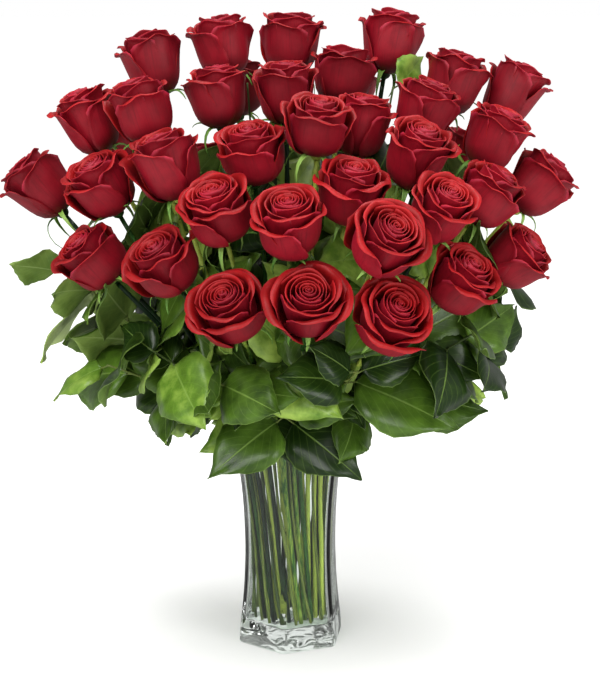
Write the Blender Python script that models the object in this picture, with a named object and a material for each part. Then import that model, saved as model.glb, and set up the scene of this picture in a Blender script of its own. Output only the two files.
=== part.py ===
# A bouquet of red roses and leafy branches standing in a flared six-sided glass vase.
# Metres, +Z up, the vase's flat underside on z = 0, the front towards -Y.
import math

import bpy
import numpy as np
from mathutils import Vector
from mathutils.bvhtree import BVHTree

# vase
VASE_HEIGHT = 0.250
BASE_RADIUS = 0.060
WAIST_RADIUS = 0.0525
RIM_RADIUS = 0.0715
WALL = 0.0045
FLOOR_THICKNESS = 0.024
EDGE_ROUNDING = 0.0035
VASE_TURN = -8.0

# roses
STEM_RADIUS = 0.0026
STEM_SIDES = 5
BLOOM_SCALE = 1.0
BOUQUET_SPREAD = 1.0

# leafy branches
BRANCH_RADIUS = 0.0016
LEAF_LENGTH = 0.070
LEAF_WIDTH = 0.045
LEAF_THICKNESS = 0.0009
PETIOLE = 0.009

GAP = 0.0011
TRIES = 110
STATIONS = 11
NECK = np.array([0.0, 0.0, 0.250])

# One row for each rose: across, depth and height of the bloom's middle, its radius, how far it has opened.
ROSES = [
    (-0.142, 0.030, 0.610, 0.0335, 0.2),
    (-0.068, 0.030, 0.632, 0.0340, 0.5),
    (-0.001, 0.035, 0.636, 0.0355, 0.6),
    (0.103, 0.045, 0.634, 0.0335, 0.3),
    (0.165, 0.000, 0.594, 0.0335, 0.3),
    (0.227, 0.020, 0.580, 0.0335, 0.2),
    (-0.201, -0.015, 0.555, 0.0335, 0.2),
    (-0.149, -0.050, 0.570, 0.0335, 0.4),
    (-0.071, -0.045, 0.585, 0.0335, 0.5),
    (-0.004, -0.055, 0.590, 0.0335, 0.5),
    (0.052, 0.000, 0.605, 0.0335, 0.6),
    (0.128, -0.060, 0.572, 0.0335, 0.6),
    (0.204, -0.045, 0.542, 0.0335, 0.4),
    (-0.118, -0.110, 0.524, 0.0375, 0.6),
    (-0.032, -0.120, 0.538, 0.0355, 0.8),
    (0.029, -0.125, 0.554, 0.0340, 0.8),
    (0.076, -0.080, 0.558, 0.0335, 0.5),
    (0.123, -0.120, 0.524, 0.0355, 0.5),
    (-0.255, -0.010, 0.488, 0.0335, 0.2),
    (-0.188, -0.080, 0.494, 0.0365, 0.8),
    (-0.062, -0.160, 0.484, 0.0365, 0.8),
    (0.000, -0.180, 0.478, 0.0365, 0.7),
    (0.051, -0.160, 0.504, 0.0365, 0.8),
    (0.138, -0.150, 0.488, 0.0335, 0.6),
    (0.194, -0.100, 0.494, 0.0335, 0.6),
    (0.250, -0.030, 0.494, 0.0335, 0.3),
    (-0.196, -0.090, 0.440, 0.0355, 0.8),
    (-0.117, -0.150, 0.442, 0.0375, 1.0),
    (0.090, -0.195, 0.462, 0.0385, 1.0),
    (0.163, -0.150, 0.428, 0.0365, 0.9),
    (0.227, -0.080, 0.430, 0.0340, 0.8),
    (-0.056, -0.190, 0.400, 0.0375, 1.0),
    (0.014, -0.205, 0.412, 0.0385, 1.0),
    (0.096, -0.190, 0.404, 0.0385, 1.0),
    (-0.180, 0.090, 0.520, 0.0340, 0.7),
    (-0.060, 0.115, 0.585, 0.0340, 0.6),
    (0.062, 0.120, 0.578, 0.0340, 0.6),
    (0.185, 0.085, 0.515, 0.0340, 0.7),
    (-0.092, 0.170, 0.490, 0.0355, 0.8),
    (0.055, 0.180, 0.492, 0.0355, 0.9),
]

# One row for each leafy branch: heading round the vase (0 = front, 90 = right), lean, reach from the
# vase's mouth, and how many leaves it carries.
BRANCHES = [
    (-100, 60, 0.262, 10),
    (-85, 56, 0.288, 10),
    (-66, 71, 0.215, 10),
    (-46, 63, 0.215, 10),
    (-26, 67, 0.190, 10),
    (-2, 77, 0.150, 10),
    (22, 65, 0.195, 10),
    (42, 73, 0.175, 10),
    (60, 63, 0.240, 10),
    (78, 71, 0.235, 10),
    (92, 55, 0.290, 10),
    (118, 64, 0.240, 9),
    (146, 70, 0.200, 9),
    (176, 63, 0.210, 9),
    (-152, 70, 0.200, 9),
    (-124, 63, 0.240, 9),
    (-62, 8, 0.350, 6),
    (86, 17, 0.360, 6),
]

# Glass profile: height and corner radius, each as a share of the sizes above.
PROFILE = [
    (0.000, 0.00),
    (0.060, 0.05),
    (0.140, 0.42),
    (0.250, 0.78),
    (0.400, 1.00),
]
FLARE = [
    (0.520, 0.03),
    (0.640, 0.12),
    (0.760, 0.30),
    (0.880, 0.58),
    (0.960, 0.86),
    (1.000, 1.00),
]

GLASS = ("clear_glass", (0.86, 0.90, 0.88, 1.0), 0.03, 0.0)
ROSE_RED = ("red_rose_petal", (0.46, 0.008, 0.018, 1.0), 0.55, 0.0)
LEAF_GREEN = ("green_leaf", (0.045, 0.130, 0.022, 1.0), 0.42, 0.0)


def cornerRadius(z):
    """Corner radius of the vase's outside at a height, following the smooth waist and the flare."""
    share = z / VASE_HEIGHT
    knots = [(s, BASE_RADIUS + (WAIST_RADIUS - BASE_RADIUS) * k) for s, k in PROFILE]
    knots += [(s, WAIST_RADIUS + (RIM_RADIUS - WAIST_RADIUS) * k) for s, k in FLARE]
    return float(np.interp(share, [k[0] for k in knots], [k[1] for k in knots]))


def addMesh(name, points, faces, finish, smooth):
    mesh = bpy.data.meshes.new(name)
    mesh.from_pydata([tuple(map(float, p)) for p in points], [], faces)
    mesh.validate()
    material = bpy.data.materials.get(finish[0])
    if material is None:
        material = bpy.data.materials.new(finish[0])
        material.use_nodes = True
        shader = material.node_tree.nodes["Principled BSDF"]
        shader.inputs["Base Color"].default_value = finish[1]
        shader.inputs["Roughness"].default_value = finish[2]
        shader.inputs["Metallic"].default_value = finish[3]
    mesh.materials.append(material)
    for polygon in mesh.polygons:
        polygon.use_smooth = smooth
    solid = bpy.data.objects.new(name, mesh)
    bpy.context.scene.collection.objects.link(solid)
    return solid


def hexagonRing(radius, rounding, z):
    """Six rounded corners, three points each, counter-clockwise seen from above."""
    ring = []
    inset = rounding * 2.0 / math.sqrt(3.0)
    for corner in range(6):
        heading = math.radians(VASE_TURN - 90.0 + 60.0 * corner)
        reach = radius - inset
        for swing in (-30.0, 0.0, 30.0):
            turn = heading + math.radians(swing)
            ring.append((
                reach * math.cos(heading) + rounding * math.cos(turn),
                reach * math.sin(heading) + rounding * math.sin(turn),
                z,
            ))
    return ring


def buildVase():
    heights = [0.0, 0.0016] + [VASE_HEIGHT * s for s, k in PROFILE[1:]]
    heights += [VASE_HEIGHT * s for s, k in FLARE[:-1]] + [VASE_HEIGHT - 0.0014, VASE_HEIGHT]
    rings = []
    for z in heights:
        trim = 0.0014 if z in (0.0, VASE_HEIGHT) else 0.0
        rings.append(hexagonRing(cornerRadius(z) - trim, EDGE_ROUNDING, z))
    inside = [VASE_HEIGHT, VASE_HEIGHT - 0.0014] + [VASE_HEIGHT * s for s, k in reversed(FLARE[:-1])]
    inside += [z for z in (VASE_HEIGHT * s for s, k in reversed(PROFILE)) if z > FLOOR_THICKNESS + 0.008]
    inside += [FLOOR_THICKNESS + 0.005, FLOOR_THICKNESS]
    thinning = WALL * 2.0 / math.sqrt(3.0)
    for z in inside:
        trim = 0.0030 if z == FLOOR_THICKNESS else 0.0
        trim -= 0.0012 if z == VASE_HEIGHT else 0.0
        rings.append(hexagonRing(cornerRadius(z) - thinning - trim, EDGE_ROUNDING * 0.6, z))
    count = len(rings[0])
    points = [p for ring in rings for p in ring]
    faces = []
    for level in range(len(rings) - 1):
        for k in range(count):
            a = level * count + k
            b = level * count + (k + 1) % count
            faces.append((a, b, b + count, a + count))
    faces.append(tuple(reversed(range(count))))
    faces.append(tuple(range((len(rings) - 1) * count, len(rings) * count)))
    return points, faces


def innerApothem(z):
    return cornerRadius(min(z, VASE_HEIGHT)) * math.cos(math.radians(30.0)) - WALL


def closestOnSegments(a0, a1, b0, b1):
    """Closest points between pairs of segments, as shares along each."""
    u = a1 - a0
    v = b1 - b0
    w = a0 - b0
    uu = np.einsum("ij,ij->i", u, u) + 1e-12
    vv = np.einsum("ij,ij->i", v, v) + 1e-12
    uv = np.einsum("ij,ij->i", u, v)
    uw = np.einsum("ij,ij->i", u, w)
    vw = np.einsum("ij,ij->i", v, w)
    s = np.clip((uv * vw - vv * uw) / np.maximum(uu * vv - uv * uv, 1e-14), 0.0, 1.0)
    t = np.clip((uv * s + vw) / vv, 0.0, 1.0)
    s = np.clip((uv * t - uw) / uu, 0.0, 1.0)
    return s, t


def arrange():
    """Stem lines and bloom radii: each stem runs from the vase's floor to its bloom, clear of the rest."""
    ends = []
    radii = []
    blooms = []
    for x, y, z, radius, opened in ROSES:
        ends.append(NECK + BOUQUET_SPREAD * (np.array([x, y, z]) - NECK))
        radii.append(STEM_RADIUS)
        blooms.append(radius * BLOOM_SCALE)
    for heading, lean, reach, leaves in BRANCHES:
        a, b = math.radians(heading), math.radians(lean)
        way = np.array([math.sin(a) * math.sin(b), -math.cos(a) * math.sin(b), math.cos(b)])
        ends.append(NECK + BOUQUET_SPREAD * reach * way)
        radii.append(BRANCH_RADIUS)
        blooms.append(0.0)
    ends = np.array(ends)
    radii = np.array(radii)
    blooms = np.array(blooms)
    number = len(ends)
    way = ends - NECK
    lean = np.arctan2(np.hypot(way[:, 0], way[:, 1]), way[:, 2])
    heading = np.arctan2(way[:, 1], way[:, 0])
    lines = np.zeros((number, STATIONS, 3))
    low = [FLOOR_THICKNESS + 0.0012] + [VASE_HEIGHT * share for share in (0.26, 0.46, 0.66, 0.85, 1.034)]
    for i in range(number):
        share = min(1.0, 0.10 + lean[i] / math.radians(66.0))
        for k, z in enumerate(low):
            turn = heading[i] + math.radians(34.0) * (1.0 - k / 5.0)
            out = (innerApothem(z) - 0.006) * share
            lines[i, k] = (out * math.cos(turn), out * math.sin(turn), z)
        inside = len(low)
        for k in range(inside, STATIONS):
            t = (k - inside + 1) / (STATIONS - inside)
            lines[i, k] = lines[i, inside - 1] * (1.0 - t) + ends[i] * t
            lines[i, k, 2] += 0.030 * math.sin(math.pi * t) * math.sin(lean[i])
    home = ends.copy()
    pairs = [(i, j) for i in range(number) for j in range(i + 1, number)]
    first = np.array([p[0] for p in pairs])
    second = np.array([p[1] for p in pairs])
    need = radii[first] + radii[second] + GAP
    walls = [math.radians(VASE_TURN - 60.0 + 60.0 * k) for k in range(6)]
    normals = np.array([[math.cos(w), math.sin(w)] for w in walls])
    spans = [(a, b) for a in range(STATIONS - 1) for b in range(STATIONS - 1) if abs(a - b) <= 2]
    for step in range(220):
        push = np.zeros_like(lines)
        count = np.zeros((number, STATIONS, 1))
        for a, b in spans:
            a0, a1 = lines[first, a], lines[first, a + 1]
            b0, b1 = lines[second, b], lines[second, b + 1]
            s, t = closestOnSegments(a0, a1, b0, b1)
            gap = (a0 + (a1 - a0) * s[:, None]) - (b0 + (b1 - b0) * t[:, None])
            far = np.linalg.norm(gap, axis=1)
            hit = far < need
            if not hit.any():
                continue
            away = gap[hit] / np.maximum(far[hit], 1e-7)[:, None]
            away *= (0.5 * (need[hit] - far[hit]))[:, None] + 1e-5
            for rod, k, share, sign in (
                (first, a, 1.0 - s, 1.0),
                (first, a + 1, s, 1.0),
                (second, b, 1.0 - t, -1.0),
                (second, b + 1, t, -1.0),
            ):
                weight = np.minimum(1.0, 0.35 + share[hit])[:, None]
                np.add.at(push[:, k], rod[hit], sign * weight * away)
                np.add.at(count[:, k], rod[hit], 1.0)
        lines += push / np.maximum(1.0, 0.6 * count)
        # blooms keep clear of each other, and stems of blooms
        middles = lines[:, -1].copy()
        gap = middles[first] - middles[second]
        far = np.linalg.norm(gap, axis=1)
        want = blooms[first] + blooms[second] + GAP
        hit = (far < want) & (blooms[first] > 0) & (blooms[second] > 0)
        away = gap[hit] / far[hit][:, None] * (0.5 * (want[hit] - far[hit]))[:, None]
        np.add.at(lines[:, -1], first[hit], away)
        np.add.at(lines[:, -1], second[hit], -away)
        for k in range(5, STATIONS - 1):
            for i in range(number):
                if blooms[i] == 0.0:
                    continue
                a0, a1 = lines[:, k], lines[:, k + 1]
                u = a1 - a0
                w = lines[i, -1] - a0
                t = np.clip(np.einsum("ij,ij->i", u, w) / (np.einsum("ij,ij->i", u, u) + 1e-12), 0.0, 1.0)
                near = a0 + u * t[:, None]
                gap = near - lines[i, -1]
                far = np.linalg.norm(gap, axis=1)
                want = blooms[i] + radii + GAP
                hit = (far < want) & (np.arange(number) != i)
                if not hit.any():
                    continue
                away = gap[hit] / far[hit][:, None] * (want[hit] - far[hit])[:, None]
                lines[hit, k] += 0.7 * away * np.minimum(1.0, 0.4 + (1.0 - t[hit]))[:, None]
                lines[hit, k + 1] += 0.7 * away * np.minimum(1.0, 0.4 + t[hit])[:, None]
                lines[i, -1] -= 0.15 * away.sum(axis=0)
        # stiffness, feet on the floor, the wall and the clear middle of the vase
        ease = 0.18 if step < 150 else 0.03 if step < 200 else 0.0
        middle = 0.5 * (lines[:, :-2] + lines[:, 2:])
        lines[:, 1:-1] += ease * (middle - lines[:, 1:-1])
        lines[:, -1] += 0.04 * (home - lines[:, -1]) if step < 160 else 0.0
        lines[:, 0, 2] = low[0]
        for k in range(1, len(low)):
            lines[:, k, 2] = low[k]
        for k in range(len(low)):
            room = innerApothem(low[k]) - radii - 0.0012
            if k == 0:
                room = room - 0.0030
            for n in normals:
                over = lines[:, k, :2] @ n - room
                lines[:, k, :2] -= np.maximum(over, 0.0)[:, None] * n
            out = np.hypot(lines[:, k, 0], lines[:, k, 1])
            short = np.maximum(0.0, 0.0042 + radii - out)
            lines[:, k, :2] += (short / np.maximum(out, 1e-6))[:, None] * lines[:, k, :2]
    return lines.tolist(), radii.tolist(), blooms.tolist()


def frames(path):
    """A side and an upright vector at each point of a line, carried along without twisting."""
    path = [Vector(p) for p in path]
    tangents = []
    for k in range(len(path)):
        ahead = path[min(k + 1, len(path) - 1)] - path[max(k - 1, 0)]
        tangents.append(ahead.normalized())
    side = tangents[0].cross(Vector((0.0, 1.0, 0.0))).normalized()
    out = []
    for tangent in tangents:
        side = (side - tangent * side.dot(tangent)).normalized()
        out.append((side.copy(), tangent.cross(side), tangent))
    return path, out


def ringAt(middle, side, up, radius, sides):
    ring = []
    for k in range(sides):
        turn = 2.0 * math.pi * k / sides
        ring.append(middle + radius * (math.cos(turn) * side + math.sin(turn) * up))
    return ring


def bloomProfile(opened):
    """Stations along a bloom as shares of its radius: a closed goblet at 0, a full cup at 1."""
    bud = [
        (-1.00, 0.10), (-0.94, 0.28), (-0.74, 0.60), (-0.34, 0.86),
        (0.10, 0.94), (0.48, 0.84), (0.78, 0.56), (0.96, 0.22),
    ]
    full = [
        (-0.99, 0.10), (-0.93, 0.32), (-0.74, 0.64), (-0.36, 0.92),
        (0.04, 0.99), (0.24, 0.96), (0.34, 0.62), (0.52, 0.22),
    ]
    return [
        (a[0] * (1 - opened) + b[0] * opened, a[1] * (1 - opened) + b[1] * opened)
        for a, b in zip(bud, full)
    ]


def loftFaces(levels, sides):
    faces = []
    for level in range(levels - 1):
        for k in range(sides):
            a = level * sides + k
            b = level * sides + (k + 1) % sides
            faces.append((a, b, b + sides, a + sides))
    return faces


def leafRings(root, outward, way, length, width, bend, fold, thickness):
    """Rings of four points from the leaf's stalk to near its tip, then the tip itself."""
    stalk = (outward * 0.5 + way * 0.5).normalized()
    start = root + stalk * PETIOLE
    up = Vector((root.x, root.y, 0.0)).normalized() * 0.85 + Vector((0.0, 0.0, 0.55))
    if abs(way.dot(up)) > 0.93:
        up = Vector((0.0, 0.0, 1.0))
    up = (up - way * up.dot(way)).normalized()
    rings = []
    stations = [(0.0, 0.045, 0.0), (0.17, 0.66, 1.0), (0.45, 1.0, 1.0), (0.78, 0.58, 1.0)]
    for along, wide, folded in stations:
        middle = start + way * length * along - up * bend * length * along * along
        slope = (way - up * 2.0 * bend * along).normalized()
        normal = (up - slope * up.dot(slope)).normalized()
        side = normal.cross(slope)
        half = max(0.5 * width * wide, 0.0007)
        lift = fold * half * folded
        rings.append([
            middle - normal * 0.5 * thickness,
            middle + side * half + normal * lift,
            middle + normal * 0.5 * thickness,
            middle - side * half + normal * lift,
        ])
    tip = start + way * length - up * bend * length
    return rings, tip


def leafMesh(rings, tip):
    points = [p for ring in rings for p in ring] + [tip]
    faces = loftFaces(len(rings), 4)
    last = (len(rings) - 1) * 4
    for k in range(4):
        faces.append((last + k, last + (k + 1) % 4, len(points) - 1))
    faces.append((3, 2, 1, 0))
    return points, faces


def treeOf(points, faces):
    return BVHTree.FromPolygons([Vector(p) for p in points], faces, all_triangles=False)


class Room:
    """What already stands in the bouquet, so that each new leaf can be turned clear of it."""

    def __init__(self, trees, middles, reaches):
        self.trees = trees
        self.middles = middles
        self.reaches = reaches

    def isFree(self, root, rings, tip, own):
        """True if the leaf is clear of everything, and its foot of all but the stem that it grows from."""
        foot = root + rings[0]
        others = self.trees[:own] + self.trees[own + 1:]
        footTree = treeOf(foot, loftFaces(2, 4) + [(3, 2, 1, 0)])
        if any(footTree.overlap(other) for other in others):
            return False
        points, faces = leafMesh(rings, tip)
        if min(p.z for p in points) < 0.03:
            return False
        for ring in rings + [[tip]]:
            for p in ring:
                for middle, reach in zip(self.middles, self.reaches):
                    if (p - middle).length < reach:
                        return False
        tree = treeOf(points, faces)
        return not any(tree.overlap(other) for other in self.trees)

    def add(self, rings, tip):
        self.trees.append(treeOf(*leafMesh(rings, tip)))


def stemStations(path, marks, straightFrom):
    """Distances along a stem where it has a ring: its bends, and a pair of rings at each leaf."""
    lengths = [0.0]
    for k in range(1, len(path)):
        lengths.append(lengths[-1] + (path[k] - path[k - 1]).length)
    stations = [(lengths[k], None) for k in range(len(path)) if k <= straightFrom or k == len(path) - 1]
    for k, mark in enumerate(marks):
        stations = [s for s in stations if s[1] is not None or abs(s[0] - mark) > 0.004]
        stations += [(mark - 0.0014, None), (mark + 0.0014, k)]
    stations.sort(key=lambda s: s[0])
    return lengths, stations


def leafAims(tangent, flip, droop, last):
    """Which way a leaf sets off, and the side of the stem it grows from."""
    across = tangent.cross(Vector((0.0, 0.0, 1.0))).normalized() * flip
    over = across.cross(tangent).normalized() * flip
    aim = tangent * (1.6 if last else 0.62) + across * (0.2 if last else 1.0)
    aim += Vector((0.0, 0.0, 1.0)) * (0.05 if last else droop)
    return aim.normalized(), (across + over * 0.3 * droop).normalized(), across


def growStem(line, sides, radiusAt, marks, number, sizes, room, straightFrom, leader, own):
    """A stem with leaves on it, all one grown piece. Its far end is left open."""
    path, turns = frames(line)
    lengths, stations = stemStations(path, marks, straightFrom)
    total = lengths[-1]
    points = []
    placed = []
    for level, (distance, leaf) in enumerate(stations):
        k = max(i for i in range(len(path) - 1) if lengths[i] <= distance + 1e-9)
        t = (distance - lengths[k]) / (lengths[k + 1] - lengths[k])
        middle = path[k].lerp(path[k + 1], t)
        side = turns[k][0].lerp(turns[k + 1][0], t)
        tangent = turns[k][2].lerp(turns[k + 1][2], t).normalized()
        side = (side - tangent * side.dot(tangent)).normalized()
        points += ringAt(middle, side, tangent.cross(side), radiusAt(distance / total), sides)
        if leaf is not None:
            placed.append((level, leaf, middle, tangent))
    skipped = set()
    grown = []
    for level, leaf, middle, tangent in placed:
        flip = 1.0 if (leaf + number) % 2 else -1.0
        droop = (0.80, -0.35, 0.30, -0.80, 0.05)[(leaf + 2 * number) % 5]
        aim, out, across = leafAims(tangent, flip, droop, leader and leaf == len(marks) - 1)
        base = (level - 1) * sides
        facing = []
        for k in range(sides):
            rim = (points[base + k] + points[base + (k + 1) % sides]) * 0.5 - middle
            facing.append((rim.normalized().dot(out), k))
        k = max(facing)[1]
        root = [base + k, base + (k + 1) % sides]
        root += [root[1] + sides, root[0] + sides]
        heart = (points[root[0]] + points[root[1]] + points[root[2]] + points[root[3]]) / 4.0
        outward = heart - middle
        outward = (outward - tangent * outward.dot(tangent)).normalized()
        size = sizes[(leaf * 2 + number) % len(sizes)]
        bend = (0.16, 0.26, 0.10, 0.20)[(leaf + number) % 4]
        for attempt in range(TRIES):
            swing = math.sqrt(attempt / TRIES)
            turn = 2.399963 * attempt
            way = aim + across.cross(aim) * 1.2 * swing * math.sin(turn)
            way += aim.cross(across.cross(aim)) * 1.2 * swing * math.cos(turn)
            way.normalize()
            if way.dot(outward) < -0.15:
                continue
            scale = size * (1.0 - 0.45 * attempt / TRIES)
            shape = (LEAF_LENGTH * scale, LEAF_WIDTH * scale, bend, 0.22)
            rings, tip = leafRings(heart, outward, way, *shape, LEAF_THICKNESS + 0.0012)
            first = sum(rings[0], Vector()) / 4.0
            stalk = [p + (heart - first) * 0.80 for p in rings[0]]
            foot = [points[q] + (points[q] - middle).normalized() * 0.0003 for q in root]
            if room.isFree(foot, [stalk] + rings, tip, own):
                room.add([stalk] + rings, tip)
                rings, tip = leafRings(heart, outward, way, *shape, LEAF_THICKNESS)
                grown.append((root, rings, tip))
                skipped.add((level - 1, k))
                break
    faces = [tuple(reversed(range(sides)))]
    for level in range(len(stations) - 1):
        for k in range(sides):
            if (level, k) not in skipped:
                a = level * sides + k
                b = level * sides + (k + 1) % sides
                faces.append((a, b, b + sides, a + sides))
    return points, faces, grown, turns[-1][0]


def addLeaves(points, faces, grown):
    """Draws each leaf out of the stem face it grows from."""
    for before, rings, tip in grown:
        for ring in rings:
            start = len(points)
            points += ring
            now = [start, start + 1, start + 2, start + 3]
            for q in range(4):
                faces.append((before[q], before[(q + 1) % 4], now[(q + 1) % 4], now[q]))
            before = now
        points.append(tip)
        for q in range(4):
            faces.append((before[q], before[(q + 1) % 4], len(points) - 1))
    return points, faces


def buildBranch(line, number, leaves, room):
    """A thin woody twig with leaves alternating along its outer part."""
    path = [Vector(p) for p in line]
    total = sum((b - a).length for a, b in zip(path, path[1:]))
    mouth = sum((b - a).length for a, b in zip(path[:5], path[1:6])) + 0.014
    shares = [k / max(1, leaves - 1) for k in range(leaves)]
    marks = [mouth + (total - 0.004 - mouth) * share ** 0.85 for share in shares]
    sides = 4
    points, faces, grown, side = growStem(
        line, sides, lambda t: BRANCH_RADIUS * (1.0 - 0.35 * t), marks, number,
        (0.92, 1.08, 1.0, 1.16, 0.86), room, 5, True, 1 + len(ROSES) + number)
    faces.append(tuple(range(len(points) - sides, len(points))))
    return addLeaves(points, faces, grown)


def roseLine(line, bloom):
    """The stem's line up to just under the bloom, and the bloom's own axis."""
    middle = Vector(line[-1])
    axis = (middle - Vector(line[-2])).normalized()
    path = [Vector(p) for p in line[:-1] if (Vector(p) - middle).length > bloom * 1.25]
    return path + [middle - axis * bloom * 1.12], middle, axis


def buildRose(line, radius, bloom, opened, number, room):
    """Cut stem with its own leaves, swollen hip, petals and the closed heart, all one grown piece."""
    path, middle, axis = roseLine(line, bloom)
    total = sum((b - a).length for a, b in zip(path, path[1:]))
    mouth = sum((b - a).length for a, b in zip(path[:5], path[1:6]))
    marks = []
    if room is not None:
        count = max(2, min(3, int((total - mouth) / 0.075)))
        marks = [mouth + (total - mouth) * (0.16 + 0.66 * (k + 0.5) / count) for k in range(count)]
    points, faces, grown, side = growStem(
        path, STEM_SIDES, lambda t: radius * 0.97, marks, number,
        (0.86, 1.00, 0.78, 0.94), room, len(path), False, 1 + number)
    side = (side - axis * side.dot(axis)).normalized()
    up = axis.cross(side)
    lower = len(points) - STEM_SIDES
    upper = len(points)
    around = 2 * STEM_SIDES
    for k in range(STEM_SIDES):
        a, b = lower + k, lower + (k + 1) % STEM_SIDES
        c, d, e = (upper + (2 * k + step) % around for step in range(3))
        faces += [(a, d, c), (a, b, d), (b, e, d)]
    profile = bloomProfile(opened)
    for along, out in profile:
        points += ringAt(middle + axis * bloom * along, side, up, bloom * out, around)
    faces += [tuple(upper + i for i in face) for face in loftFaces(len(profile), around)]
    faces.append(tuple(range(len(points) - around, len(points))))
    return addLeaves(points, faces, grown)


def triangulated(points, faces):
    """Flat triangles, so that a twisted four-sided face is the same shape everywhere."""
    out = []
    for face in faces:
        if len(face) == 4:
            a, b, c, d = (Vector(points[i]) for i in face)
            if (a - c).length <= (b - d).length:
                out += [(face[0], face[1], face[2]), (face[0], face[2], face[3])]
            else:
                out += [(face[0], face[1], face[3]), (face[1], face[2], face[3])]
        else:
            out.append(face)
    return points, out


def main():
    for thing in list(bpy.data.objects):
        bpy.data.objects.remove(thing, do_unlink=True)
    vasePoints, vaseFaces = buildVase()
    addMesh("vase", vasePoints, vaseFaces, GLASS, False)
    lines, radii, blooms = arrange()
    roses = len(ROSES)
    trees = [treeOf(vasePoints, vaseFaces)]
    for i in range(roses):
        trees.append(treeOf(*buildRose(lines[i], radii[i] + 0.0004, blooms[i], ROSES[i][4], i, None)))
    for i in range(roses, len(lines)):
        path, turns = frames(lines[i])
        tube = []
        for middle, turn in zip(path, turns):
            tube += ringAt(middle, turn[0], turn[1], BRANCH_RADIUS + 0.0006, 5)
        trees.append(treeOf(tube, loftFaces(len(path), 5)))
    middles = [Vector(lines[i][-1]) for i in range(roses)]
    reaches = [blooms[i] * 1.03 + 0.0005 for i in range(roses)]
    room = Room(trees, middles, reaches)
    for n, row in enumerate(BRANCHES):
        points, faces = triangulated(*buildBranch(lines[roses + n], n, row[3], room))
        addMesh("leaf_branch_%02d" % (n + 1), points, faces, LEAF_GREEN, False)
    for i in range(roses):
        points, faces = triangulated(*buildRose(lines[i], radii[i], blooms[i], ROSES[i][4], i, room))
        addMesh("rose_%02d" % (i + 1), points, faces, ROSE_RED, True)


main()
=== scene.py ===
import math
import random

import bmesh
import bpy
from mathutils import Matrix, Vector, noise


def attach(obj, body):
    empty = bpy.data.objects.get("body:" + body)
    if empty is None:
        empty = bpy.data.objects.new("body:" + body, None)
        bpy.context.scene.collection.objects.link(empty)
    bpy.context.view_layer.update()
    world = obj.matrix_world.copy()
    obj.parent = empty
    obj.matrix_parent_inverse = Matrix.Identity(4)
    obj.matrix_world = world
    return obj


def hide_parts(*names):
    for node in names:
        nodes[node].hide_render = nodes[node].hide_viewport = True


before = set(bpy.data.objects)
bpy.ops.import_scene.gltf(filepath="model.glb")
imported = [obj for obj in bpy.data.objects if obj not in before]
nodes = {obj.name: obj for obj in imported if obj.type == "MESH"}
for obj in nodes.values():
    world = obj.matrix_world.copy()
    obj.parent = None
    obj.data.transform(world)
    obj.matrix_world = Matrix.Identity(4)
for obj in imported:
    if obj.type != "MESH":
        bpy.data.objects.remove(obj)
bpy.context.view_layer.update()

print("frame loaded:", len(nodes), "solids")


def hexColour(text):
    # sRGB hex to the linear values that the shader sockets take
    out = []
    for k in (0, 2, 4):
        c = int(text[k:k + 2], 16) / 255.0
        out.append(c / 12.92 if c <= 0.04045 else ((c + 0.055) / 1.055) ** 2.4)
    return (out[0], out[1], out[2], 1.0)


def newMaterial(name):
    material = bpy.data.materials.new(name)
    material.use_nodes = True
    return material, material.node_tree.nodes["Principled BSDF"]


def addNode(owner, kind, inputs=None, **settings):
    # adds a node to a material or the world, with its settings, values and links
    node = owner.node_tree.nodes.new(kind)
    for key, value in settings.items():
        setattr(node, key, value)
    for key, value in (inputs or {}).items():
        if isinstance(value, bpy.types.NodeSocket):
            owner.node_tree.links.new(value, node.inputs[key])
        else:
            node.inputs[key].default_value = value
    return node


def link(owner, source, target):
    owner.node_tree.links.new(source, target)


def blend(a, b, t):
    return a + (b - a) * t


def ease(low, high, x):
    t = max(0.0, min(1.0, (x - low) / (high - low)))
    return t * t * (3.0 - 2.0 * t)


def setRamp(node, stops):
    ramp = node.color_ramp
    while len(ramp.elements) > 2:
        ramp.elements.remove(ramp.elements[-1])
    ramp.elements[0].position, ramp.elements[0].color = stops[0]
    ramp.elements[1].position, ramp.elements[1].color = stops[-1]
    for place, colour in stops[1:-1]:
        ramp.elements.new(place).color = colour


def finishPiece(name, bm, materials, replaced=()):
    mesh = bpy.data.meshes.new(name)
    bm.to_mesh(mesh)
    bm.free()
    for polygon in mesh.polygons:
        polygon.use_smooth = True
    for material in materials:
        mesh.materials.append(material)
    piece = bpy.data.objects.new(name, mesh)
    bpy.context.scene.collection.objects.link(piece)
    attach(piece, "root")
    if replaced:
        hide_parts(*replaced)
    return piece


def mergedCopy(name):
    bm = bmesh.new()
    bm.from_mesh(nodes[name].data)
    bmesh.ops.remove_doubles(bm, verts=bm.verts, dist=0.00002)
    bm.verts.index_update()
    return bm


def neighbours(vert):
    return [edge.other_vert(vert) for edge in vert.link_edges]


def ringsFrom(start, stop=80, shut=()):
    # walks a lofted solid ring by ring, away from the vertices it starts with
    rings = [list(start)]
    seen = set(start) | set(shut)
    while len(rings) < stop:
        ahead = []
        for vert in rings[-1]:
            for other in neighbours(vert):
                if other not in seen:
                    seen.add(other)
                    ahead.append(other)
        if not ahead:
            break
        rings.append(ahead)
    return rings


def middleOf(ring):
    return sum((vert.co for vert in ring), Vector()) / len(ring)


def spreadOf(ring):
    middle = middleOf(ring)
    return sum((vert.co - middle).length for vert in ring) / len(ring)


def ridgeOf(ring):
    # the two vertices nearest each other are the blade's top and underside at its midrib
    best = None
    for i in range(4):
        for j in range(i + 1, 4):
            far = (ring[i].co - ring[j].co).length
            if best is None or far < best[0]:
                best = (far, (ring[i].co + ring[j].co) / 2.0)
    return best[1]


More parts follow.
